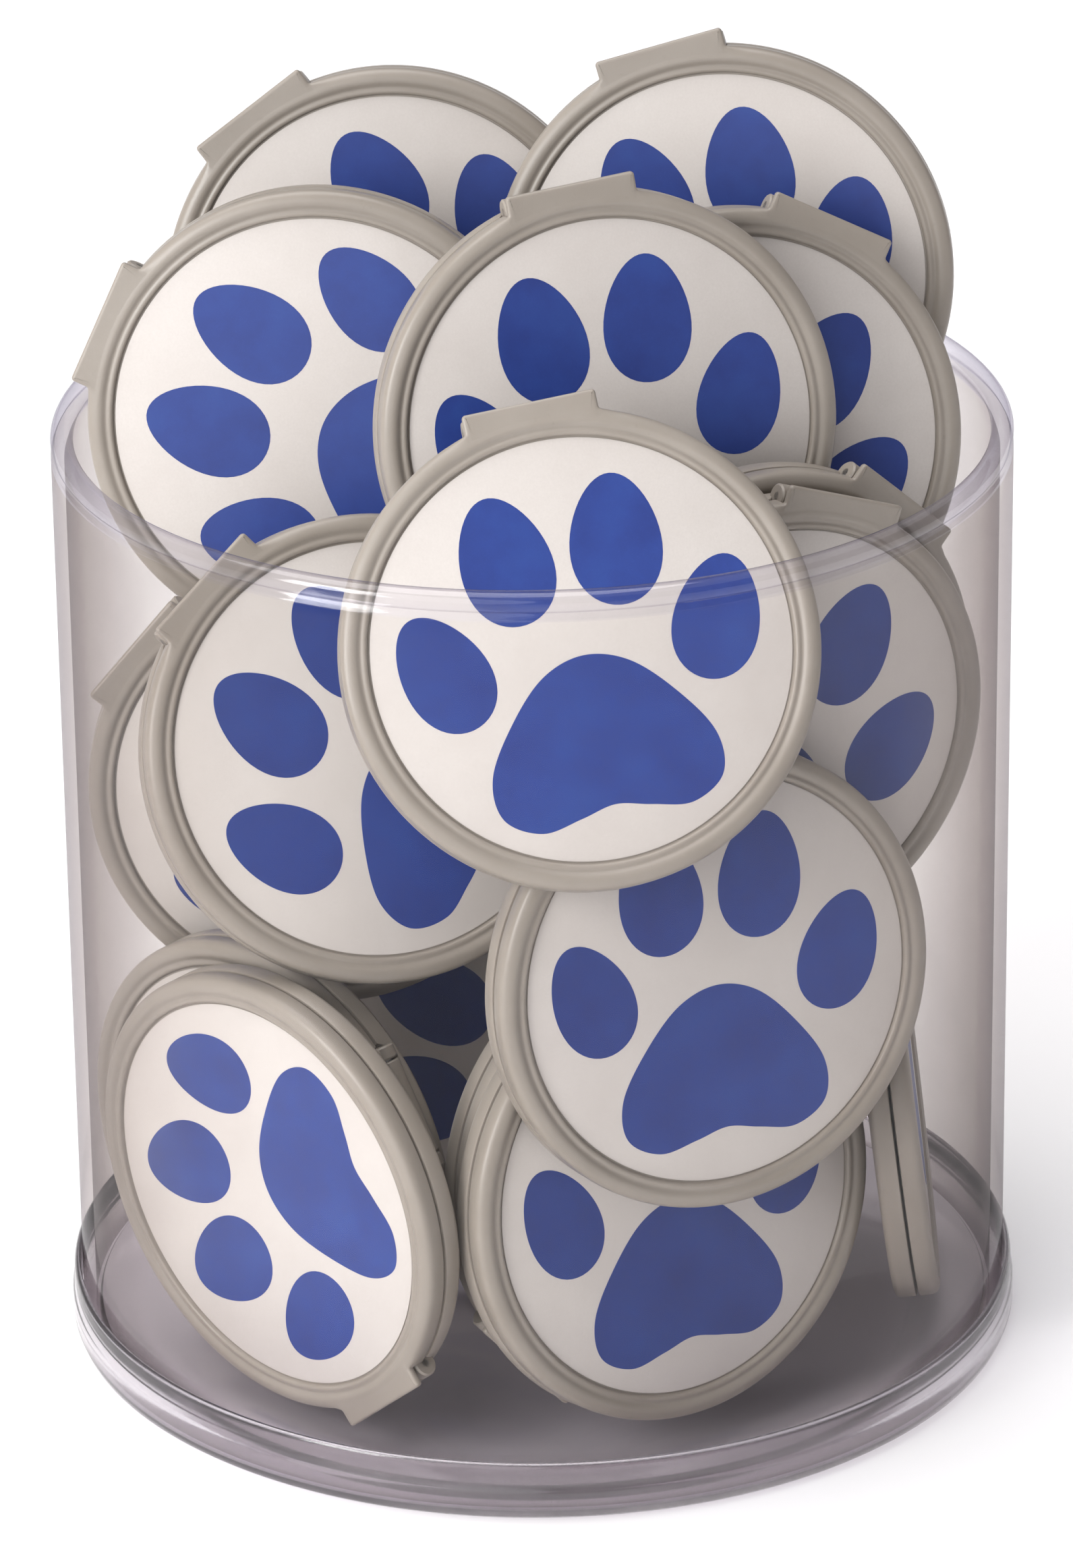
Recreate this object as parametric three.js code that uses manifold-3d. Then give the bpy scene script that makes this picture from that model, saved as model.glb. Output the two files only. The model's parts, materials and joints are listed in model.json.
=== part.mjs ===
// Countertop display tub filled with round hinged compact mirrors.
// Millimetres, +Z up, the tub stands on z = 0 with its axis on the Z axis, and -Y is the front.
import * as THREE from 'three'
import { mergeVertices } from 'three/addons/utils/BufferGeometryUtils.js'
import Module from 'manifold-3d'

const wasm = await Module()
wasm.setup()

// ---- driving dimensions of the tub ----
const TUB_HEIGHT = 148
const TUB_OUTER_R = 72
const WALL = 2
const BEAD_HEIGHT = 3.4
const BEAD_INNER_R = 68.6
const BASE_OUTER_R = 73.7
const BASE_RING_HEIGHT = 9.5
const FLOOR_THICKNESS = 3
const FLOOR_R = 69.6
const SEAT_DEPTH = 1.5
const CREASE_DEPTH = 0.3
const CREASE_RISE = 0.6
const BEAD_CHAMFER = 0.8
const BASE_STEP_HEIGHT = 5
const BASE_STEP = 0.4
const GAP = 0.3
const TUB_SEGMENTS = 56

// ---- driving dimensions of one compact ----
const CASE_R = 35
const CASE_THICKNESS = 7.2
const SPLIT_GAP = 0.4
const EDGE_ROUND = 0.9
const LABEL_R = 30.7
const LABEL_RECESS = 0.9
const LABEL_THICKNESS = 0.4
const LABEL_SEAT_GAP = 0.05
const RING_SLOPE = 0.5
const MIRROR_R = 28
const MIRROR_THICKNESS = 1
const MIRROR_POCKET = 1.4
const MIRROR_GAP = 0.15
const HINGE_WIDTH = 19.8
const REAR_KNUCKLE = 15
const KNUCKLE_R = 1.9
const KNUCKLE_CLEAR_R = 2.2
const HINGE_Y = 34
const PIN_R = 0.7
const PIN_BORE_R = 0.85
const CASE_SEGMENTS = 24
const KNUCKLE_SIDES = 12
const SHUT_KNUCKLE_SIDES = 10
const PIN_SIDES = 8

const COLOURS = {
  clear: { color: 0xe8e6ee, roughness: 0.08, metalness: 0, transparent: true, opacity: 0.35 },
  case: { color: 0xc9c4bd, roughness: 0.45, metalness: 0 },
  paper: { color: 0xe9e5df, roughness: 0.7, metalness: 0 },
  mirror: { color: 0xdfe4e6, roughness: 0.05, metalness: 1 },
  steel: { color: 0xb9bcc0, roughness: 0.3, metalness: 1 },
}

// ---- geometry helpers ----
function cleaned(geometry) {
  geometry.deleteAttribute('normal')
  geometry.deleteAttribute('uv')
  return mergeVertices(geometry, 1e-4)
}

function toManifold(geometry) {
  const merged = cleaned(geometry)
  return new wasm.Manifold(new wasm.Mesh({
    numProp: 3,
    vertProperties: new Float32Array(merged.attributes.position.array),
    triVerts: new Uint32Array(merged.index.array),
  }))
}

function fromManifold(solid) {
  const mesh = solid.getMesh()
  const geometry = new THREE.BufferGeometry()
  const positions = new Float32Array(mesh.vertProperties)
  geometry.setAttribute('position', new THREE.BufferAttribute(positions, 3))
  geometry.setIndex(new THREE.BufferAttribute(new Uint32Array(mesh.triVerts), 1))
  return geometry
}

// A closed [radius, height] profile turned round the Z axis.
function turned(profile, segments) {
  const points = profile.map(([r, z]) => new THREE.Vector2(r, z))
  const lathe = new THREE.LatheGeometry(points, segments)
  lathe.rotateX(Math.PI / 2)
  return toManifold(lathe)
}

function material(name) {
  return new THREE.MeshStandardMaterial(COLOURS[name])
}

function add(group, name, geometry, look) {
  geometry.computeVertexNormals()
  const mesh = new THREE.Mesh(geometry, material(look))
  mesh.name = name
  group.add(mesh)
}

// ---- the tub ----
function tubTube() {
  const inner = TUB_OUTER_R - WALL
  const crease = TUB_HEIGHT - BEAD_HEIGHT
  const bottom = FLOOR_THICKNESS - SEAT_DEPTH + GAP
  return turned([
    [inner, bottom],
    [TUB_OUTER_R, bottom],
    [TUB_OUTER_R, crease - CREASE_RISE],
    [TUB_OUTER_R - CREASE_DEPTH, crease],
    [TUB_OUTER_R, crease + CREASE_RISE],
    [TUB_OUTER_R, TUB_HEIGHT - BEAD_CHAMFER],
    [TUB_OUTER_R - BEAD_CHAMFER, TUB_HEIGHT],
    [BEAD_INNER_R + BEAD_CHAMFER, TUB_HEIGHT],
    [BEAD_INNER_R, TUB_HEIGHT - BEAD_CHAMFER],
    [BEAD_INNER_R, crease + CREASE_RISE],
    [inner, crease - CREASE_RISE],
    [inner, bottom],
  ], TUB_SEGMENTS)
}

function tubBase() {
  const seat = FLOOR_THICKNESS - SEAT_DEPTH
  const bore = TUB_OUTER_R + GAP
  return turned([
    [0, 0],
    [BASE_OUTER_R - 2 * BASE_STEP, 0],
    [BASE_OUTER_R, 2 * BASE_STEP],
    [BASE_OUTER_R, BASE_STEP_HEIGHT],
    [BASE_OUTER_R - BASE_STEP, BASE_STEP_HEIGHT + BASE_STEP],
    [BASE_OUTER_R - BASE_STEP, BASE_RING_HEIGHT - BASE_STEP],
    [BASE_OUTER_R - 2 * BASE_STEP, BASE_RING_HEIGHT],
    [bore, BASE_RING_HEIGHT],
    [bore, seat],
    [FLOOR_R, seat],
    [FLOOR_R, FLOOR_THICKNESS],
    [0, FLOOR_THICKNESS],
  ], TUB_SEGMENTS)
}

// ---- one compact, built flat: +Z is its printed front, +Y points at its hinge ----
const HALF = CASE_THICKNESS / 2
const HALF_SPLIT = SPLIT_GAP / 2

// A rod along X at the hinge line, from x0 to x1.
function hingeRod(radius, x0, x1, sides) {
  const geometry = new THREE.CylinderGeometry(radius, radius, x1 - x0, sides)
  geometry.rotateZ(Math.PI / 2)
  geometry.translate((x0 + x1) / 2, HINGE_Y, 0)
  return toManifold(geometry)
}

const HALF_REAR = REAR_KNUCKLE / 2
const HALF_HINGE = HINGE_WIDTH / 2

function frontShell() {
  const face = HALF - LABEL_RECESS
  const shell = turned([
    [0, HALF_SPLIT + MIRROR_POCKET],
    [MIRROR_R + GAP, HALF_SPLIT + MIRROR_POCKET],
    [MIRROR_R + GAP, HALF_SPLIT],
    [CASE_R, HALF_SPLIT],
    [CASE_R, HALF - EDGE_ROUND],
    [CASE_R - EDGE_ROUND, HALF],
    [LABEL_R + RING_SLOPE, HALF - RING_SLOPE],
    [LABEL_R + GAP, face],
    [0, face],
  ], CASE_SEGMENTS)
  const leftKnuckle = hingeRod(KNUCKLE_R, -HALF_HINGE, -HALF_REAR - GAP, KNUCKLE_SIDES)
  const rightKnuckle = hingeRod(KNUCKLE_R, HALF_REAR + GAP, HALF_HINGE, KNUCKLE_SIDES)
  const clearance = hingeRod(KNUCKLE_CLEAR_R, -HALF_REAR - GAP, HALF_REAR + GAP, KNUCKLE_SIDES)
  const bore = hingeRod(PIN_BORE_R, -CASE_R, CASE_R, PIN_SIDES)
  return shell.add(leftKnuckle).add(rightKnuckle).subtract(clearance).subtract(bore)
}

function rearShell() {
  const shell = turned([
    [0, -HALF],
    [CASE_R - EDGE_ROUND, -HALF],
    [CASE_R, -HALF + EDGE_ROUND],
    [CASE_R, -HALF_SPLIT],
    [MIRROR_R + GAP, -HALF_SPLIT],
    [MIRROR_R + GAP, -HALF_SPLIT - MIRROR_POCKET],
    [0, -HALF_SPLIT - MIRROR_POCKET],
  ], CASE_SEGMENTS)
  const knuckle = hingeRod(KNUCKLE_R, -HALF_REAR, HALF_REAR, KNUCKLE_SIDES)
  const leftClearance = hingeRod(KNUCKLE_CLEAR_R, -HALF_HINGE - GAP, -HALF_REAR, KNUCKLE_SIDES)
  const rightClearance = hingeRod(KNUCKLE_CLEAR_R, HALF_REAR, HALF_HINGE + GAP, KNUCKLE_SIDES)
  const bore = hingeRod(PIN_BORE_R, -CASE_R, CASE_R, PIN_SIDES)
  return shell.add(knuckle).subtract(leftClearance).subtract(rightClearance).subtract(bore)
}

function disc(radius, low, high) {
  return turned([
    [0, low],
    [radius, low],
    [radius, high],
    [0, high],
  ], CASE_SEGMENTS)
}

function labelDisc() {
  const seat = HALF - LABEL_RECESS + LABEL_SEAT_GAP
  return disc(LABEL_R - GAP, seat, seat + LABEL_THICKNESS)
}

function lidMirror() {
  const low = HALF_SPLIT + MIRROR_GAP
  return disc(MIRROR_R, low, low + MIRROR_THICKNESS)
}

function baseMirror() {
  const high = -HALF_SPLIT - MIRROR_GAP
  return disc(MIRROR_R, high - MIRROR_THICKNESS, high)
}

function hingePin() {
  return hingeRod(PIN_R, -HALF_HINGE, HALF_HINGE, PIN_SIDES)
}

// A shut compact that lies under others: its two shells and its label as one outer form.
function shutCompact() {
  const body = turned([
    [0, -HALF],
    [CASE_R - EDGE_ROUND, -HALF],
    [CASE_R, -HALF + EDGE_ROUND],
    [CASE_R, HALF - EDGE_ROUND],
    [CASE_R - EDGE_ROUND, HALF],
    [LABEL_R, HALF - RING_SLOPE],
    [0, HALF - RING_SLOPE],
  ], CASE_SEGMENTS)
  return body.add(hingeRod(KNUCKLE_R, -HALF_HINGE, HALF_HINGE, SHUT_KNUCKLE_SIDES))
}

// ---- where each compact lies ----
// at: centre of the case. turn: which way its front looks round the tub, in degrees from the
// front, positive to the right. tilt: how far its front looks up. roll: which way its hinge
// points in its own face, in degrees clockwise from straight up as seen from its front.
const LOOSE = {
  left_back: { at: [-21, 37.5, 153.5], turn: 0, tilt: 13, roll: -37 },
  right_back: { at: [29.5, 28, 159.5], turn: -3, tilt: 13, roll: -16 },
  left_middle: { at: [-32, 10, 144], turn: -4, tilt: 10, roll: -66 },
  centre: { at: [11, -8.5, 149.5], turn: 15, tilt: 13, roll: -6 },
  right_middle: { at: [30.5, 5, 141.5], turn: 15, tilt: 14, roll: 28 },
  front: { at: [6.5, -48, 129.5], turn: 6, tilt: 26, roll: -9 },
}

const SHUT = {
  left_upper: { at: [-24.5, -24, 104], turn: 17, tilt: 24, roll: -40 },
  left_upper_rear: { at: [-33, -5, 90], turn: -1, tilt: 2, roll: -50 },
  right_upper: { at: [34.5, -27, 108.5], turn: 27, tilt: 3, roll: 20 },
  right_upper_rear: { at: [33.5, -18.5, 110], turn: 27, tilt: 3, roll: 42 },
  right_mid: { at: [25, -47, 77], turn: 25, tilt: 9, roll: 0 },
  bottom_left: { at: [-39.5, -40.5, 39.5], turn: -44, tilt: -3, roll: 140 },
  bottom_left_rear: { at: [-41, -27, 39], turn: -43, tilt: -2, roll: 60 },
  bottom_centre: { at: [18.5, -43.5, 40], turn: 33, tilt: 11, roll: 0 },
  bottom_centre_rear: { at: [16.5, -35.5, 39.5], turn: 33, tilt: 11, roll: -130 },
  bottom_right: { at: [54.5, -3, 39.5], turn: 89, tilt: 7, roll: 0 },
  floor_back_left: { at: [-4, 38, 39], turn: -30, tilt: 12, roll: 25 },
  floor_middle: { at: [-3.5, 1, 39], turn: -13, tilt: 11, roll: -80 },
  low_back: { at: [-8, 24, 50.5], turn: -15, tilt: 20, roll: 150 },
  floor_back_right: { at: [15.5, 48.5, 39], turn: -20, tilt: 1, roll: -30 },
  upper_back: { at: [9.5, 48.5, 109.5], turn: -3, tilt: -6, roll: 10 },
  upper_middle: { at: [-20, 13.5, 107], turn: -9, tilt: 16, roll: 95 },
}

function placement({ at, turn, tilt, roll }) {
  const az = THREE.MathUtils.degToRad(turn)
  const el = THREE.MathUtils.degToRad(tilt)
  const normal = new THREE.Vector3(
    Math.sin(az) * Math.cos(el),
    -Math.cos(az) * Math.cos(el),
    Math.sin(el),
  )
  const across = new THREE.Vector3(0, 0, 1).cross(normal).normalize()
  const up = new THREE.Vector3().crossVectors(normal, across)
  const matrix = new THREE.Matrix4().makeBasis(across, up, normal)
  const spin = new THREE.Matrix4().makeRotationZ(THREE.MathUtils.degToRad(-roll))
  matrix.multiply(spin)
  matrix.setPosition(at[0], at[1], at[2])
  return matrix
}

function placed(solid, where) {
  const geometry = fromManifold(solid)
  geometry.applyMatrix4(placement(where))
  return geometry
}

// ---- the assembly ----
const part = new THREE.Group()
part.name = 'compact_display_tub'
add(part, 'tub_tube', fromManifold(tubTube()), 'clear')
add(part, 'tub_base', fromManifold(tubBase()), 'clear')

const pieces = {
  lid: [frontShell(), 'case'],
  base: [rearShell(), 'case'],
  label: [labelDisc(), 'paper'],
  lid_mirror: [lidMirror(), 'mirror'],
  base_mirror: [baseMirror(), 'mirror'],
  pin: [hingePin(), 'steel'],
}

for (const [name, where] of Object.entries(LOOSE)) {
  for (const [piece, [solid, look]] of Object.entries(pieces)) {
    add(part, `${name}_${piece}`, placed(solid, where), look)
  }
}

const shut = shutCompact()
for (const [name, where] of Object.entries(SHUT)) {
  add(part, `${name}_compact`, placed(shut, where), 'case')
}

export default part
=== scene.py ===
import bpy
import bmesh
import json
import math
from mathutils import Matrix, Vector


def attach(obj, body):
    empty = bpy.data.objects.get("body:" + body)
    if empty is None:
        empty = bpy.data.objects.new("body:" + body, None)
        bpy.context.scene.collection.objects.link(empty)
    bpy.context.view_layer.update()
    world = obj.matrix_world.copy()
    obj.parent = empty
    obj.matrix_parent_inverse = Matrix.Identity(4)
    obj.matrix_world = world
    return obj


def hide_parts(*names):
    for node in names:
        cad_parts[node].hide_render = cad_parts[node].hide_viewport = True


# A clear countertop display tub, full of round hinged compacts with paw-print labels. Lengths in the
# mesh code are in millimetres and MM turns them into metres. A compact's own frame has its middle at
# the origin, its front towards +Z and its hinge towards +Y.
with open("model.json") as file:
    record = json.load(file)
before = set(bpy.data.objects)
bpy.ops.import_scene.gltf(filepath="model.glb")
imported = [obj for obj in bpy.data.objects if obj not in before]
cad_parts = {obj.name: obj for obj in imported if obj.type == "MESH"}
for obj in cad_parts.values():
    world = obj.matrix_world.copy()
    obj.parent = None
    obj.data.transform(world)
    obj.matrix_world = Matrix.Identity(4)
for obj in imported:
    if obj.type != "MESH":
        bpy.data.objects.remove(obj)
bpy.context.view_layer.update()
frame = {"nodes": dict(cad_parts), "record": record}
nodes = frame["nodes"]
MM = 0.001

# ---------------------------------------------------------------- material helpers
# how far apart two objects' noises can be, in the fourth dimension of the noise
SEED_SPREAD = 37.0


def new_material(name):
    mat = bpy.data.materials.new(name)
    mat.use_nodes = True
    tree = mat.node_tree
    return mat, tree, tree.nodes["Principled BSDF"]


def node(tree, kind, **inputs):
    """A shader node with constant inputs; an underscore stands for a space in an input's name."""
    n = tree.nodes.new(kind)
    for key, value in inputs.items():
        n.inputs[key.replace("_", " ")].default_value = value
    return n


def coordinates(tree):
    return tree.nodes.new("ShaderNodeTexCoord").outputs["Object"]


def noise(tree, vector, scale, detail, rough, own_seed=True):
    """Noise between 0 and 1. With own_seed, every object shows another part of it."""
    n = node(tree, "ShaderNodeTexNoise", Scale=scale, Detail=detail, Roughness=rough)
    n.noise_dimensions = "4D"
    tree.links.new(vector, n.inputs["Vector"])
    if own_seed:
        info = tree.nodes.new("ShaderNodeObjectInfo")
        times = tree.nodes.new("ShaderNodeMath")
        times.operation = "MULTIPLY"
        times.inputs[1].default_value = SEED_SPREAD
        tree.links.new(info.outputs["Random"], times.inputs[0])
        tree.links.new(times.outputs[0], n.inputs["W"])
    return n.outputs["Fac"]


def ramp(tree, factor, stops):
    """A colour ramp through (place, colour) stops."""
    r = tree.nodes.new("ShaderNodeValToRGB")
    elements = r.color_ramp.elements
    while len(elements) < len(stops):
        elements.new(0.5)
    for element, (place, colour) in zip(elements, stops):
        element.position = place
        element.color = (*colour, 1.0)
    tree.links.new(factor, r.inputs["Fac"])
    return r.outputs["Color"]


def mixed_colour(tree, factor, a, b, mode="MIX"):
    """Colour a mixed with colour b. Each of the two is a socket or a constant."""
    m = tree.nodes.new("ShaderNodeMix")
    m.data_type = "RGBA"
    m.blend_type = mode
    # the node has sockets for every data type; these are the ones for colour
    factor_in, a_in, b_in, colour_out = m.inputs[0], m.inputs[6], m.inputs[7], m.outputs[2]
    for socket, value in ((factor_in, factor), (a_in, a), (b_in, b)):
        if isinstance(value, tuple):
            socket.default_value = (*value, 1.0)
        else:
            tree.links.new(value, socket)
    return colour_out


def value_range(tree, factor, to, source=(0.0, 1.0)):
    """The factor, carried from the range source to the range to."""
    r = node(tree, "ShaderNodeMapRange", From_Min=source[0], From_Max=source[1], To_Min=to[0], To_Max=to[1])
    tree.links.new(factor, r.inputs["Value"])
    return r.outputs["Result"]


def bump(tree, height, strength, distance, normal=None):
    b = node(tree, "ShaderNodeBump", Strength=strength, Distance=distance)
    tree.links.new(height, b.inputs["Height"])
    if normal is not None:
        tree.links.new(normal, b.inputs["Normal"])
    return b.outputs["Normal"]


def light_rays(tree):
    """1 for shadow rays and diffuse rays, which go straight through clear plastic, and 0 for others."""
    path = tree.nodes.new("ShaderNodeLightPath")
    either = tree.nodes.new("ShaderNodeMath")
    either.operation = "MAXIMUM"
    tree.links.new(path.outputs["Is Shadow Ray"], either.inputs[0])
    tree.links.new(path.outputs["Is Diffuse Ray"], either.inputs[1])
    return either.outputs[0]


def show_mix(tree, factor, a, b):
    """Makes the material show shader a where the factor is 0 and shader b where it is 1."""
    mix = tree.nodes.new("ShaderNodeMixShader")
    tree.links.new(factor, mix.inputs[0])
    tree.links.new(a.outputs[0], mix.inputs[1])
    tree.links.new(b.outputs[0], mix.inputs[2])
    tree.links.new(mix.outputs[0], tree.nodes["Material Output"].inputs["Surface"])


# ---------------------------------------------------------------- materials
def case_plastic():
    """Warm grey moulded plastic with a fine grain and a little dust."""
    mat, tree, shader = new_material("case_plastic")
    at = coordinates(tree)
    cloud = noise(tree, at, scale=55.0, detail=4.0, rough=0.55)
    grain = noise(tree, at, scale=2600.0, detail=2.0, rough=0.6)
    speck = noise(tree, at, scale=900.0, detail=2.0, rough=0.7)
    plain = ramp(tree, cloud, [(0.3, (0.262, 0.231, 0.198)), (0.7, (0.303, 0.27, 0.235))])
    dust = value_range(tree, speck, to=(0.0, 0.25), source=(0.62, 0.8))
    tree.links.new(mixed_colour(tree, dust, plain, (0.20, 0.176, 0.148)), shader.inputs["Base Color"])
    rough = value_range(tree, cloud, to=(0.30, 0.42), source=(0.3, 0.7))
    tree.links.new(rough, shader.inputs["Roughness"])
    fine = bump(tree, grain, strength=0.35, distance=0.00004)
    relief = bump(tree, speck, strength=0.2, distance=0.00006, normal=fine)
    tree.links.new(relief, shader.inputs["Normal"])
    shader.inputs["Subsurface Weight"].default_value = 0.12
    shader.inputs["Subsurface Radius"].default_value = (0.0012, 0.001, 0.0008)
    shader.inputs["Subsurface Scale"].default_value = 1.0
    shader.inputs["IOR"].default_value = 1.49
    return mat


def label_finish(name, cloud, fine, stops, fleck, fleck_range, rough, relief, ior):
    """Paper or ink. cloud and fine are the scale, detail and roughness of its tone and of its grain."""
    mat, tree, shader = new_material(name)
    at = coordinates(tree)
    tone = noise(tree, at, *cloud)
    grain = noise(tree, at, *fine)
    share = value_range(tree, grain, *fleck_range)
    coloured = mixed_colour(tree, share, ramp(tree, tone, stops), fleck)
    tree.links.new(coloured, shader.inputs["Base Color"])
    tree.links.new(value_range(tree, grain, to=rough, source=(0.3, 0.7)), shader.inputs["Roughness"])
    tree.links.new(bump(tree, grain, strength=relief, distance=0.00003), shader.inputs["Normal"])
    shader.inputs["IOR"].default_value = ior
    return mat


def clear_plastic(name, tint, haze):
    """Clear moulded plastic that bends what is seen through it."""
    mat, tree, shader = new_material(name)
    at = coordinates(tree)
    smear = noise(tree, at, scale=38.0, detail=5.0, rough=0.6)
    wave = noise(tree, at, scale=16.0, detail=2.0, rough=0.5)
    shader.inputs["Base Color"].default_value = (*tint, 1.0)
    shader.inputs["Transmission Weight"].default_value = 1.0
    shader.inputs["IOR"].default_value = 1.49
    rough = value_range(tree, smear, to=(haze * 0.4, haze * 1.6), source=(0.3, 0.75))
    tree.links.new(rough, shader.inputs["Roughness"])
    tree.links.new(bump(tree, wave, strength=0.12, distance=0.0004), shader.inputs["Normal"])
    through = node(tree, "ShaderNodeBsdfTransparent", Color=(*(c ** 0.5 for c in tint), 1.0))
    show_mix(tree, light_rays(tree), shader, through)
    return mat


def thin_clear(name, tints, shines, polish):
    """A thin clear wall: almost clear face on, greyer and shinier where it is seen edge on."""
    mat, tree, unused = new_material(name)
    tree.nodes.remove(unused)
    at = coordinates(tree)
    smear = noise(tree, at, scale=30.0, detail=5.0, rough=0.6)
    wave = noise(tree, at, scale=16.0, detail=2.0, rough=0.5)
    edge_on = node(tree, "ShaderNodeLayerWeight", Blend=0.5).outputs["Facing"]
    cloud = value_range(tree, smear, to=(0.0, 0.5), source=(0.4, 0.8))
    cloudy = mixed_colour(tree, cloud, ramp(tree, edge_on, tints), (0.94, 0.935, 0.945), "MULTIPLY")
    passing = light_rays(tree)
    clear = tree.nodes.new("ShaderNodeBsdfTransparent")
    tree.links.new(mixed_colour(tree, passing, cloudy, (1.0, 1.0, 1.0)), clear.inputs["Color"])
    gloss = tree.nodes.new("ShaderNodeBsdfGlossy")
    rough = value_range(tree, smear, to=(polish, polish * 3), source=(0.3, 0.75))
    tree.links.new(rough, gloss.inputs["Roughness"])
    tree.links.new(bump(tree, wave, strength=0.15, distance=0.0004), gloss.inputs["Normal"])
    shine = ramp(tree, edge_on, [(place, (share,) * 3) for place, share in shines])
    show_mix(tree, mixed_colour(tree, passing, shine, (0.0, 0.0, 0.0)), clear, gloss)
    return mat


def metal(name, colour, scale, detail, rough, source):
    """Bare metal or silvered glass, with smears in its polish."""
    mat, tree, shader = new_material(name)
    smear = noise(tree, coordinates(tree), scale, detail, rough=0.6)
    shader.inputs["Base Color"].default_value = (*colour, 1.0)
    shader.inputs["Metallic"].default_value = 1.0
    tree.links.new(value_range(tree, smear, to=rough, source=source), shader.inputs["Roughness"])
    return mat


def floor_paint():
    mat, tree, shader = new_material("floor_paint")
    soft = noise(tree, coordinates(tree), scale=3.0, detail=2.0, rough=0.5, own_seed=False)
    tone = ramp(tree, soft, [(0.3, (0.93, 0.925, 0.935)), (0.7, (0.95, 0.945, 0.955))])
    tree.links.new(tone, shader.inputs["Base Color"])
    shader.inputs["Roughness"].default_value = 0.75
    shader.inputs["Specular IOR Level"].default_value = 0.2
    return mat


CASE = case_plastic()
PAPER = label_finish(
    "label_paper", cloud=(90.0, 4.0, 0.6), fine=(3200.0, 3.0, 0.65),
    stops=[(0.3, (0.54, 0.50, 0.47)), (0.7, (0.575, 0.537, 0.507))],
    fleck=(0.45, 0.413, 0.385), fleck_range=((0.0, 0.35), (0.3, 0.8)),
    rough=(0.42, 0.56), relief=0.25, ior=1.46)
INK = label_finish(
    "label_ink", cloud=(120.0, 5.0, 0.6), fine=(3600.0, 2.0, 0.7),
    stops=[(0.3, (0.012, 0.030, 0.18)), (0.55, (0.015, 0.041, 0.22)), (0.8, (0.018, 0.055, 0.255))],
    fleck=(0.045, 0.09, 0.34), fleck_range=((0.0, 0.25), (0.55, 0.85)),
    rough=(0.40, 0.52), relief=0.2, ior=1.5)
WALL = thin_clear(
    "wall_clear",
    tints=[(0.0, (0.985, 0.982, 0.98)), (0.25, (0.965, 0.96, 0.957)), (0.45, (0.91, 0.897, 0.89)),
           (0.75, (0.755, 0.728, 0.718)), (1.0, (0.50, 0.46, 0.475))],
    shines=[(0.0, 0.004), (0.4, 0.014), (0.8, 0.08), (1.0, 0.40)], polish=0.03)
BEAD = thin_clear(
    "bead_clear",
    tints=[(0.0, (0.955, 0.95, 0.968)), (0.4, (0.91, 0.90, 0.93)), (0.7, (0.79, 0.775, 0.83)),
           (1.0, (0.50, 0.48, 0.56))],
    shines=[(0.0, 0.03), (0.4, 0.07), (0.8, 0.25), (1.0, 0.55)], polish=0.05)
BASE = clear_plastic("base_clear", tint=(0.735, 0.705, 0.735), haze=0.12)
MIRROR = metal("mirror_glass", (0.88, 0.9, 0.9), 70.0, 4.0, rough=(0.02, 0.09), source=(0.35, 0.8))
STEEL = metal("pin_steel", (0.56, 0.56, 0.57), 1800.0, 2.0, rough=(0.22, 0.4), source=(0.0, 1.0))

# ---------------------------------------------------------------- sizes of a compact
CASE_R = 35.0
HALF_THICKNESS = 3.6
TAB_HALF = 9.9
TAB_TOP = 36.5
TAB_FILLET = 0.5
TAB_CORNER = 0.55
HINGE_Y = 34.0
KNUCKLE_R = 1.9
LID_KNUCKLE_FROM = 7.8
BASE_KNUCKLE_TO = 7.5
PIN_R = 0.7
LABEL_R = 30.7
MIRROR_R = 28.0
MIRROR_BEVEL = 0.15
POCKET_R = MIRROR_R + 0.3
POCKET_EDGE_R = MIRROR_R + 0.55
# the two shells meet this far from the middle, and are cut away to the second height at the hinge
MEETING = 0.2
HINGE_CUT = 2.3

# how finely round things are made
CASE_SEGMENTS = 144
TAB_CASE_SEGMENTS = 66
LABEL_SEGMENTS = 128
MIRROR_SEGMENTS = 96
TUB_SEGMENTS = 256


# ---------------------------------------------------------------- mesh helpers
def finished(bm, name, materials, smooth_angle=35.0):
    """A mesh from the bmesh, smooth except where two faces meet at more than the angle."""
    bmesh.ops.remove_doubles(bm, verts=bm.verts, dist=1e-7)
    bmesh.ops.dissolve_degenerate(bm, edges=bm.edges, dist=1e-8)
    bmesh.ops.recalc_face_normals(bm, faces=bm.faces)
    mesh = bpy.data.meshes.new(name)
    bm.to_mesh(mesh)
    bm.free()
    for m in materials:
        mesh.materials.append(m)
    mesh.shade_smooth()
    mesh.set_sharp_from_angle(angle=math.radians(smooth_angle))
    return mesh


def loops_to_faces(bm, loops, material=0):
    """Quads between each closed loop of vertices and the next, or triangles where one is a point."""
    for a, b in zip(loops, loops[1:]):
        count = len(a)
        for i in range(count):
            j = (i + 1) % count
            corners = list(dict.fromkeys((a[i], a[j], b[j], b[i])))
            if len(corners) > 2:
                bm.faces.new(corners).material_index = material


def circle_loop(bm, radius, height, count):
    """Vertices on a circle round Z, or one vertex over and over where the radius is nothing."""
    if radius == 0:
        return [bm.verts.new((0.0, 0.0, height * MM))] * count
    turns = [2 * math.pi * i / count for i in range(count)]
    return [
        bm.verts.new((radius * MM * math.cos(a), radius * MM * math.sin(a), height * MM))
        for a in turns
    ]


def turned(profile, count, name, materials, smooth_angle=35.0):
    """A (radius, height) profile turned round Z."""
    bm = bmesh.new()
    loops_to_faces(bm, [circle_loop(bm, r, z, count) for r, z in profile])
    return finished(bm, name, materials, smooth_angle)


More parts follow.
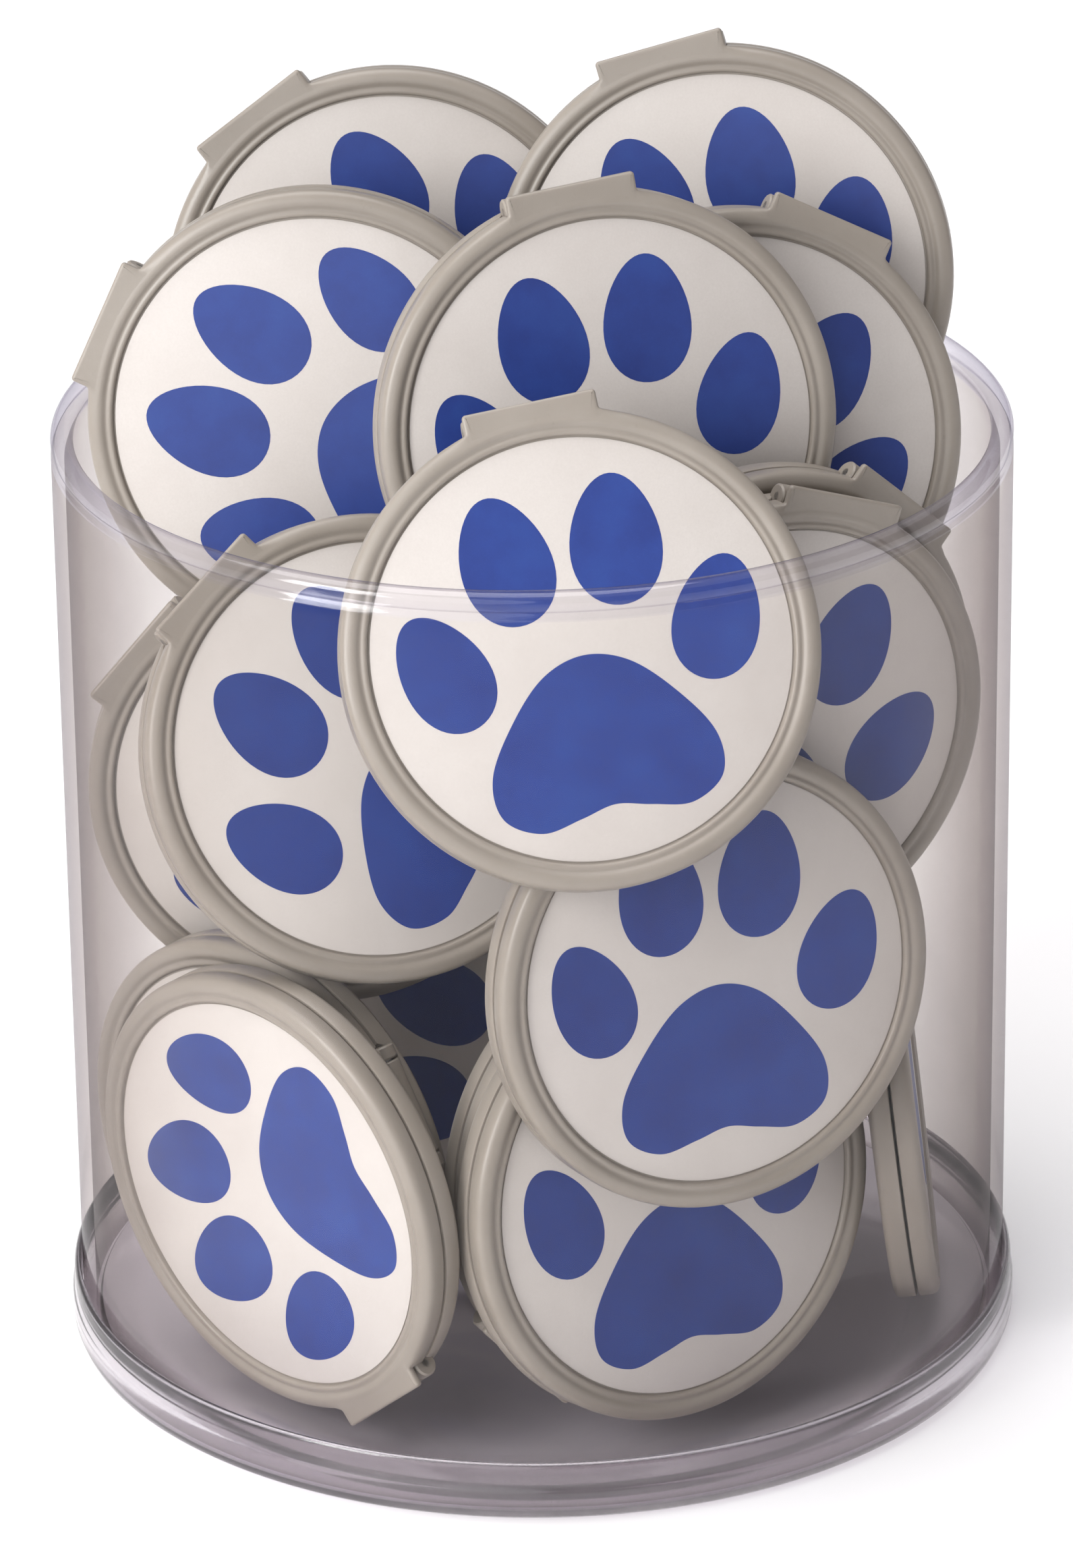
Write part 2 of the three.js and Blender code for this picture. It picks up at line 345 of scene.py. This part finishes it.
def arc(cx, cy, radius, start, end, count):
    """Points on an arc in the (radius, height) plane, angles in degrees."""
    out = []
    for i in range(count + 1):
        a = math.radians(start + (end - start) * i / count)
        out.append((cx + radius * math.cos(a), cy + radius * math.sin(a)))
    return out


def edge_point(a):
    """A point of the case's round edge, at an angle from +Y, with its outward normal."""
    return CASE_R * math.sin(a), CASE_R * math.cos(a), math.sin(a), math.cos(a)


def round_outline():
    """Points round the case with their outward normals."""
    return [edge_point(2 * math.pi * i / CASE_SEGMENTS) for i in range(CASE_SEGMENTS)]


def tab_outline():
    """Points round the case and its hinge tab, with their outward normals."""
    edge_steps, corner_steps, fillet_steps = 7, 6, 5
    fillet_x = TAB_HALF + TAB_FILLET
    fillet_y = math.sqrt((CASE_R + TAB_FILLET) ** 2 - fillet_x ** 2)
    start = math.atan2(fillet_x, fillet_y)
    corner_x, corner_y = TAB_HALF - TAB_CORNER, TAB_TOP - TAB_CORNER
    # the tab's straight edge from its middle, its corner, the concave fillet and the circle
    half = [(corner_x * i / edge_steps, TAB_TOP, 0.0, 1.0) for i in range(edge_steps)]
    for i in range(corner_steps + 1):
        a = math.pi / 2 * i / corner_steps
        nx, ny = math.sin(a), math.cos(a)
        half.append((corner_x + TAB_CORNER * nx, corner_y + TAB_CORNER * ny, nx, ny))
    for i in range(fillet_steps + 1):
        a = math.pi - (math.pi / 2 - start) * i / fillet_steps
        dx, dy = math.cos(a), -math.sin(math.pi - a)
        half.append((fillet_x + TAB_FILLET * dx, fillet_y + TAB_FILLET * dy, -dx, -dy))
    for i in range(1, TAB_CASE_SEGMENTS):
        half.append(edge_point(start + (math.pi - start) * i / TAB_CASE_SEGMENTS))
    mirrored = [(-x, y, -nx, ny) for x, y, nx, ny in reversed(half[1:])]
    return half + [(0.0, -CASE_R, 0.0, -1.0)] + mirrored


def shell(bm, outline, sections):
    """A closed shell through (kind, size, height) sections.

    An "inset" section follows the outline, size in from it, and a "circle" section is a circle of
    radius size. The height is a number, or depends on x and y. A centre closes each end.
    """
    loops = []
    for kind, size, height in sections:
        loop = []
        for x, y, nx, ny in outline:
            h = height(x, y) if callable(height) else height
            if kind == "inset":
                px, py = x - nx * size, y - ny * size
            else:
                length = math.hypot(x, y)
                px, py = x / length * size, y / length * size
            loop.append(bm.verts.new((px * MM, py * MM, h * MM)))
        loops.append(loop)
    loops_to_faces(bm, loops)
    for loop, height in ((loops[0], sections[0][2]), (loops[-1], sections[-1][2])):
        centre = bm.verts.new((0.0, 0.0, height * MM))
        for i in range(len(loop)):
            bm.faces.new((loop[i], loop[(i + 1) % len(loop)], centre))


def rod(bm, radius, x0, x1, round_by=0.25, count=28):
    """A rod along X on the hinge line, with rounded ends."""
    rings = [
        (x0, radius - round_by), (x0 + round_by, radius),
        (x1 - round_by, radius), (x1, radius - round_by),
    ]
    turns = [2 * math.pi * i / count for i in range(count)]
    loops = [
        [
            bm.verts.new((x * MM, (HINGE_Y + r * math.cos(a)) * MM, r * math.sin(a) * MM))
            for a in turns
        ]
        for x, r in rings
    ]
    loops_to_faces(bm, loops)
    bm.faces.new(loops[0])
    bm.faces.new(list(reversed(loops[-1])))


# ---------------------------------------------------------------- the pieces of a compact
def lid_mesh():
    cut_y, cut_half = 33.0, 10.05
    tab_y, tab_half = 33.3, 10.6

    def under(x, y):
        """The lid's underside, which is cut away above the hinge."""
        return HINGE_CUT if y > cut_y and abs(x) < cut_half else MEETING

    def top(ring_height, tab_height):
        """The lid's upper side, one height on the ring and another on the hinge tab."""
        return lambda x, y: tab_height if y > tab_y and abs(x) < tab_half else ring_height

    bm = bmesh.new()
    shell(bm, tab_outline(), [
        # the mirror's pocket
        ("circle", POCKET_R, 1.6),
        ("circle", POCKET_R, 0.45),
        ("circle", POCKET_EDGE_R, MEETING),
        # the face that meets the base, out to the side
        ("circle", 31.55, MEETING),
        ("circle", 31.65, under),
        ("inset", 0.35, under),
        ("inset", 0.1, lambda x, y: under(x, y) + 0.1),
        ("inset", 0.0, lambda x, y: under(x, y) + 0.3),
        # the side and its rounded edge
        ("inset", 0.0, top(2.0, 3.02)),
        ("inset", 0.04, top(2.35, 3.2)),
        ("inset", 0.14, top(2.7, 3.32)),
        ("inset", 0.32, top(3.0, 3.4)),
        ("inset", 0.6, top(3.24, 3.43)),
        # the raised ring
        ("circle", 34.05, top(3.4, 3.45)),
        ("circle", 33.7, top(3.53, 3.5)),
        ("circle", 33.3, HALF_THICKNESS),
        ("circle", 32.9, 3.56),
        ("circle", 32.6, 3.43),
        ("circle", 32.35, 3.27),
        # the groove inside it
        ("circle", 32.15, 3.2),
        ("circle", 31.95, 3.24),
        ("circle", 31.75, 3.34),
        # the lip round the label, and the label's seat
        ("circle", 31.5, 3.38),
        ("circle", 31.25, 3.3),
        ("circle", 31.1, 3.12),
        ("circle", 31.04, 2.8),
        ("circle", 30.95, 2.66),
    ])
    rod(bm, KNUCKLE_R, -TAB_HALF, -LID_KNUCKLE_FROM)
    rod(bm, KNUCKLE_R, LID_KNUCKLE_FROM, TAB_HALF)
    return finished(bm, "lid_shell", [CASE])


def base_mesh():
    cut_y, cut_from, cut_to = 31.6, 7.4, 10.4

    def upper(x, y):
        """The base's upper side, which is cut away under the lid's two knuckles."""
        return -HINGE_CUT if y > cut_y and cut_from < abs(x) < cut_to else -MEETING

    bm = bmesh.new()
    shell(bm, round_outline(), [
        # the mirror's pocket
        ("circle", POCKET_R, -1.6),
        ("circle", POCKET_R, -0.45),
        ("circle", POCKET_EDGE_R, -MEETING),
        # the face that meets the lid, out to the side
        ("circle", 31.4, -MEETING),
        ("circle", 31.5, upper),
        ("inset", 0.3, upper),
        ("inset", 0.08, lambda x, y: upper(x, y) - 0.08),
        ("inset", 0.0, lambda x, y: upper(x, y) - 0.28),
        # the side and its rounded edge
        ("inset", 0.0, -2.6),
        ("inset", 0.1, -2.95),
        ("inset", 0.35, -3.28),
        ("inset", 0.75, -3.5),
        ("inset", 1.3, -HALF_THICKNESS),
        # the step into the back
        ("circle", 31.6, -HALF_THICKNESS),
        ("circle", 31.3, -3.52),
        ("circle", 31.1, -3.35),
        ("circle", 30.9, -3.3),
    ])
    rod(bm, KNUCKLE_R, -BASE_KNUCKLE_TO, BASE_KNUCKLE_TO)
    return finished(bm, "base_shell", [CASE])


def smooth_closed(points):
    """A smooth closed curve through the points (a Catmull-Rom spline)."""
    steps = 9
    out = []
    n = len(points)
    for i in range(n):
        p0, p1, p2, p3 = (Vector(points[(i + k - 1) % n]) for k in range(4))
        for s in range(steps):
            t = s / steps
            square = 2 * p0 - 5 * p1 + 4 * p2 - p3
            cube = 3 * p1 - p0 - 3 * p2 + p3
            out.append(0.5 * (2 * p1 + (p2 - p0) * t + square * t * t + cube * t ** 3))
    return out


def toe(cx, cy, lean, half_width, half_height):
    """An egg shape, a little narrower towards its tip. lean is clockwise, in degrees."""
    count, taper = 48, 0.16
    out = []
    a = math.radians(lean)
    for i in range(count):
        t = 2 * math.pi * i / count
        x = half_width * math.cos(t) * (1.0 - taper * math.sin(t))
        y = half_height * math.sin(t)
        out.append(Vector((cx + x * math.cos(a) + y * math.sin(a), cy - x * math.sin(a) + y * math.cos(a))))
    return out


def paw_shapes():
    """The outlines of a plain paw print that is the same on both sides: a pad and four toes."""
    pad_side = [(6.4, -2.9), (12.2, -8.6), (16.6, -15.6), (16.3, -21.8), (11.2, -24.9), (5.2, -24.0)]
    other_side = [(-x, y) for x, y in reversed(pad_side)]
    shapes = [smooth_closed([(0.0, -0.9)] + pad_side + [(0.0, -22.9)] + other_side)]
    for side in (-1, 1):
        shapes.append(toe(side * 8.2, 14.6, side * 7, half_width=6.7, half_height=9.6))
    for side in (-1, 1):
        shapes.append(toe(side * 20.3, 0.6, side * 22, half_width=6.3, half_height=9.2))
    return shapes


def label_mesh():
    """A round printed label: paper, with the paw print as a film of ink on it."""
    ink_low, ink_high = 2.84, 2.868
    bm = bmesh.new()
    profile = [
        (0, 2.67), (LABEL_R - 0.1, 2.67), (LABEL_R, 2.7),
        (LABEL_R, 2.8), (LABEL_R - 0.12, 2.85), (0, 2.85),
    ]
    loops_to_faces(bm, [circle_loop(bm, r, z, LABEL_SEGMENTS) for r, z in profile])
    for shape in paw_shapes():
        low = [bm.verts.new((p.x * MM, p.y * MM, ink_low * MM)) for p in shape]
        high = [bm.verts.new((p.x * MM, p.y * MM, ink_high * MM)) for p in shape]
        loops_to_faces(bm, [low, high], material=1)
        middle_x = sum(p.x for p in shape) / len(shape)
        middle_y = sum(p.y for p in shape) / len(shape)
        for ring, height in ((high, ink_high), (low, ink_low)):
            middle = bm.verts.new((middle_x * MM, middle_y * MM, height * MM))
            for i in range(len(ring)):
                bm.faces.new((ring[i], ring[(i + 1) % len(ring)], middle)).material_index = 1
    return finished(bm, "paw_label", [PAPER, INK])


def mirror_mesh(name, low, high):
    flat_r = MIRROR_R - MIRROR_BEVEL
    profile = [
        (0, low), (flat_r, low), (MIRROR_R, low + MIRROR_BEVEL),
        (MIRROR_R, high - MIRROR_BEVEL), (flat_r, high), (0, high),
    ]
    return turned(profile, MIRROR_SEGMENTS, name, [MIRROR])


def pin_mesh():
    bm = bmesh.new()
    rod(bm, PIN_R, -TAB_HALF, TAB_HALF, round_by=0.1, count=20)
    return finished(bm, "hinge_pin", [STEEL])


LID = lid_mesh()
SHELL = base_mesh()
LABEL = label_mesh()
LID_MIRROR = mirror_mesh("lid_mirror", 0.35, 1.35)
BASE_MIRROR = mirror_mesh("base_mirror", -1.35, -0.35)
PIN = pin_mesh()

# ---------------------------------------------------------------- where the CAD has each compact
# when two faces lie in one plane: the least cosine between them and the most metres between them
SAME_WAY = 0.9998
SAME_PLANE = 0.00005
# what lies further out than this, in mm, belongs to a shut compact's hinge
PAST_CASE_R = 35.2


def middle_of(mesh):
    return sum((v.co for v in mesh.vertices), Vector()) / len(mesh.vertices)


def flat_back(mesh):
    """The outward normal and centre of a mesh's largest flat side, which is a shut compact's back."""
    planes = []
    for p in mesh.polygons:
        for plane in planes:
            apart = abs((p.center - plane["at"]).dot(plane["normal"]))
            if apart < SAME_PLANE and plane["normal"].dot(p.normal) > SAME_WAY:
                break
        else:
            plane = {"normal": p.normal.copy(), "at": p.center.copy(), "area": 0.0, "total": Vector()}
            planes.append(plane)
        plane["area"] += p.area
        plane["total"] += p.center * p.area
    back = max(planes, key=lambda plane: plane["area"])
    return back["normal"].normalized(), back["total"] / back["area"]


def matrix_from(across, up, front, at):
    """A place, from its three axes and its origin."""
    place = Matrix((across, up, front)).transposed().to_4x4()
    place.translation = at
    return place


def compact_place(middle, front, towards):
    """A compact's place, from its middle, the way it faces and a direction towards its hinge."""
    up = (towards - front * towards.dot(front)).normalized()
    return matrix_from(up.cross(front).normalized(), up, front, middle)


def loose_place(key):
    """A loose compact's place, from its two mirrors and its hinge pin."""
    fore = middle_of(nodes[key + "_lid_mirror"].data)
    aft = middle_of(nodes[key + "_base_mirror"].data)
    middle = (fore + aft) / 2
    return compact_place(middle, (fore - aft).normalized(), middle_of(nodes[key + "_pin"].data) - middle)


def shut_place(name):
    """A shut compact's place, from its flat back and the edge that stands out at its hinge."""
    mesh = nodes[name].data
    back, centre = flat_back(mesh)
    front = -back
    middle = centre + front * HALF_THICKNESS * MM
    towards = Vector()
    for v in mesh.vertices:
        out = v.co - middle
        if (out - front * out.dot(front)).length > PAST_CASE_R * MM:
            towards += out
    return compact_place(middle, front, towards)


def put(name, mesh, place, body, stands_for):
    """Adds a piece: a copy of the mesh, moved to its place, so that its box is tight."""
    moved = mesh.copy()
    moved.name = name
    moved.transform(place)
    obj = bpy.data.objects.new(name, moved)
    bpy.context.scene.collection.objects.link(obj)
    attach(obj, body)
    if stands_for:
        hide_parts(stands_for)


# how far each label is turned from its hinge, in degrees, where a label was stuck on askew
LABEL_TURN = {"bottom_left": -100.0, "bottom_right": 60.0}


def label_place(key, place):
    return place @ Matrix.Rotation(math.radians(LABEL_TURN.get(key, 0.0)), 4, "Z")


bodies = frame["record"]["behaviour"]["bodies"]
body_with = {n: b for b, members in bodies.items() for n in members}

for lid_name in sorted(n for n in nodes if n.endswith("_lid")):
    key = lid_name.removesuffix("_lid")
    place = loose_place(key)
    cover, case = body_with[lid_name], body_with[key + "_base"]
    put(key + "_lid_shell", LID, place, cover, lid_name)
    put(key + "_base_shell", SHELL, place, case, key + "_base")
    put(key + "_paw_label", LABEL, label_place(key, place), cover, key + "_label")
    put(key + "_lid_glass", LID_MIRROR, place, cover, key + "_lid_mirror")
    put(key + "_base_glass", BASE_MIRROR, place, case, key + "_base_mirror")
    put(key + "_hinge_pin", PIN, place, case, key + "_pin")

# a shut compact is one solid in the CAD, and its lid shell is the piece that stands for it
for compact_name in sorted(n for n in nodes if n.endswith("_compact")):
    key = compact_name.removesuffix("_compact")
    place = shut_place(compact_name)
    put(key + "_lid_shell", LID, place, "tub", compact_name)
    put(key + "_base_shell", SHELL, place, "tub", None)
    put(key + "_paw_label", LABEL, label_place(key, place), "tub", None)
    put(key + "_hinge_pin", PIN, place, "tub", None)

# ---------------------------------------------------------------- the tub
TUB_R = 72.0
INNER_R = 70.0
TUB_H = 148.0
FOOT_FLOOR = 3.0
TUB_SHARP = 50.0
# the rolled bead round the rim: its section's middle and radius, and where its material starts
BEAD_MIDDLE = (70.3, TUB_H - 1.72)
BEAD_R = 1.7
BEAD_FROM = TUB_H - 5.0


def tube_mesh():
    profile = [
        # the lower end
        (INNER_R + 0.2, 1.9), (TUB_R - 0.2, 1.9), (TUB_R, 2.1),
        # the outside, up to the crease under the bead
        (TUB_R, 20), (TUB_R, 60), (TUB_R, 100), (TUB_R, 140), (TUB_R, TUB_H - 4.2),
        (TUB_R - 0.15, TUB_H - 3.75), (TUB_R - 0.45, TUB_H - 3.45),
    ]
    profile += arc(*BEAD_MIDDLE, BEAD_R, -48, 180, 26)
    profile += arc(*BEAD_MIDDLE, BEAD_R, 180, 215, 5)[1:]
    profile += [
        # the inside, back down
        (INNER_R - 0.65, TUB_H - 3.3), (INNER_R - 0.3, TUB_H - 3.9), (INNER_R, TUB_H - 4.8),
        (INNER_R, 140), (INNER_R, 100), (INNER_R, 60), (INNER_R, 20), (INNER_R, 2.1),
    ]
    profile.append(profile[0])
    mesh = turned(profile, TUB_SEGMENTS, "tub_wall", [WALL, BEAD], TUB_SHARP)
    for face in mesh.polygons:
        face.material_index = 1 if face.center.z > BEAD_FROM * MM else 0
    return mesh


def foot_mesh():
    bore = TUB_R + 0.3
    profile = [
        # the underside
        (0, 0.6), (60, 0.6), (62, 0.2), (64, 0.0), (71.4, 0.0),
        # the outside, with its step
        (72.6, 0.25), (73.35, 0.85), (73.7, 1.8), (73.7, 4.6), (73.5, 5.15), (73.3, 5.5), (73.3, 8.4),
        (73.2, 8.95), (72.95, 9.3), (72.7, 9.45),
        # the seat that the wall stands in, and the floor
        (bore + 0.1, 9.4), (bore, 9.1), (bore, 1.6), (69.6, 1.5), (69.4, 2.6),
        (69.0, FOOT_FLOOR), (0, FOOT_FLOOR),
    ]
    return turned(profile, TUB_SEGMENTS, "tub_foot", [BASE], TUB_SHARP)


put("tub_wall", tube_mesh(), Matrix.Identity(4), "tub", "tub_tube")
put("tub_foot", foot_mesh(), Matrix.Identity(4), "tub", "tub_base")

# ---------------------------------------------------------------- floor
FLOOR_HALF = 6.0
# the floor lies a little lower than the tub, so that their faces don't coincide
FLOOR_DROP = 0.0002

bm = bmesh.new()
bmesh.ops.create_grid(bm, x_segments=2, y_segments=2, size=FLOOR_HALF)
floor_mesh = bpy.data.meshes.new("floor")
bm.to_mesh(floor_mesh)
bm.free()
floor_mesh.materials.append(floor_paint())
floor = bpy.data.objects.new("floor", floor_mesh)
bpy.context.scene.collection.objects.link(floor)
floor.location.z = -FLOOR_DROP


# ---------------------------------------------------------------- light
def lamp_object(name, kind, direction, power, colour):
    """A lamp at the origin that shines from the direction given."""
    lamp = bpy.data.lights.new(name, kind)
    lamp.energy = power
    lamp.color = colour
    obj = bpy.data.objects.new(name, lamp)
    obj.rotation_euler = Vector(direction).to_track_quat("Z", "Y").to_euler()
    bpy.context.scene.collection.objects.link(obj)
    return obj


def softbox(name, place, aim, size, power, colour):
    obj = lamp_object(name, "AREA", Vector(place) - Vector(aim), power, colour)
    obj.data.shape = "RECTANGLE"
    obj.data.size, obj.data.size_y = size
    obj.location = place


def sun(name, direction, spread, power, colour):
    obj = lamp_object(name, "SUN", direction, power, colour)
    obj.data.angle = math.radians(spread)


softbox("key_left", place=(-0.55, -0.50, 0.42), aim=(-0.02, 0.0, 0.09), size=(0.28, 0.40),
        power=4.0, colour=(1.0, 0.99, 0.98))
sun("overhead", direction=(-0.18, 0.06, 1.0), spread=54.0, power=2.3, colour=(1.0, 0.99, 0.985))
sun("front_fill", direction=(-0.60, -1.0, 0.35), spread=60.0, power=1.25, colour=(0.965, 0.98, 1.0))

# the surroundings are lighter on the left than on the right
world = bpy.data.worlds.new("studio")
world.use_nodes = True
sky = world.node_tree
split = sky.nodes.new("ShaderNodeSeparateXYZ")
sky.links.new(sky.nodes.new("ShaderNodeTexCoord").outputs["Generated"], split.inputs[0])
across_sky = value_range(sky, split.outputs["X"], to=(0.0, 1.0), source=(-1.0, 1.0))
glow = ramp(sky, across_sky, [
    (0.0, (0.66, 0.645, 0.64)),
    (0.5, (0.32, 0.31, 0.32)),
    (1.0, (0.13, 0.125, 0.135)),
])
sky.links.new(glow, sky.nodes["Background"].inputs["Color"])
sky.nodes["Background"].inputs["Strength"].default_value = 1.0
bpy.context.scene.world = world

# ---------------------------------------------------------------- camera
# metres from the origin, the angle above the floor as seen from there, and the way that it looks
CAMERA_DISTANCE = 1.2013
CAMERA_RISE = math.radians(27.508)
CAMERA_PITCH = math.radians(23.687)
CAMERA_ROLL = math.radians(-0.732)

camera_data = bpy.data.cameras.new("camera")
camera_data.sensor_width = 36.0
camera_data.lens = 174.97
camera_data.clip_start = 0.05
camera_data.clip_end = 50.0
camera = bpy.data.objects.new("camera", camera_data)
bpy.context.scene.collection.objects.link(camera)
looking = Vector((0.0, math.cos(CAMERA_PITCH), -math.sin(CAMERA_PITCH)))
right = Vector((1.0, 0.0, 0.0))
up = right.cross(looking)
rolled_right = right * math.cos(CAMERA_ROLL) + up * math.sin(CAMERA_ROLL)
rolled_up = up * math.cos(CAMERA_ROLL) - right * math.sin(CAMERA_ROLL)
stand = Vector((0.0, -math.cos(CAMERA_RISE), math.sin(CAMERA_RISE))) * CAMERA_DISTANCE
camera.matrix_world = matrix_from(rolled_right, rolled_up, -looking, stand)
bpy.context.scene.camera = camera

# ---------------------------------------------------------------- how light is followed
# a ray crosses the wall, the bead and the base many times, so it may bounce more than usual
scene = bpy.context.scene
scene.view_settings.view_transform = "Standard"
scene.cycles.max_bounces = 16
scene.cycles.transmission_bounces = 14
scene.cycles.transparent_max_bounces = 24
scene.cycles.glossy_bounces = 6
scene.cycles.diffuse_bounces = 4
scene.cycles.caustics_reflective = False
scene.cycles.sample_clamp_indirect = 6.0
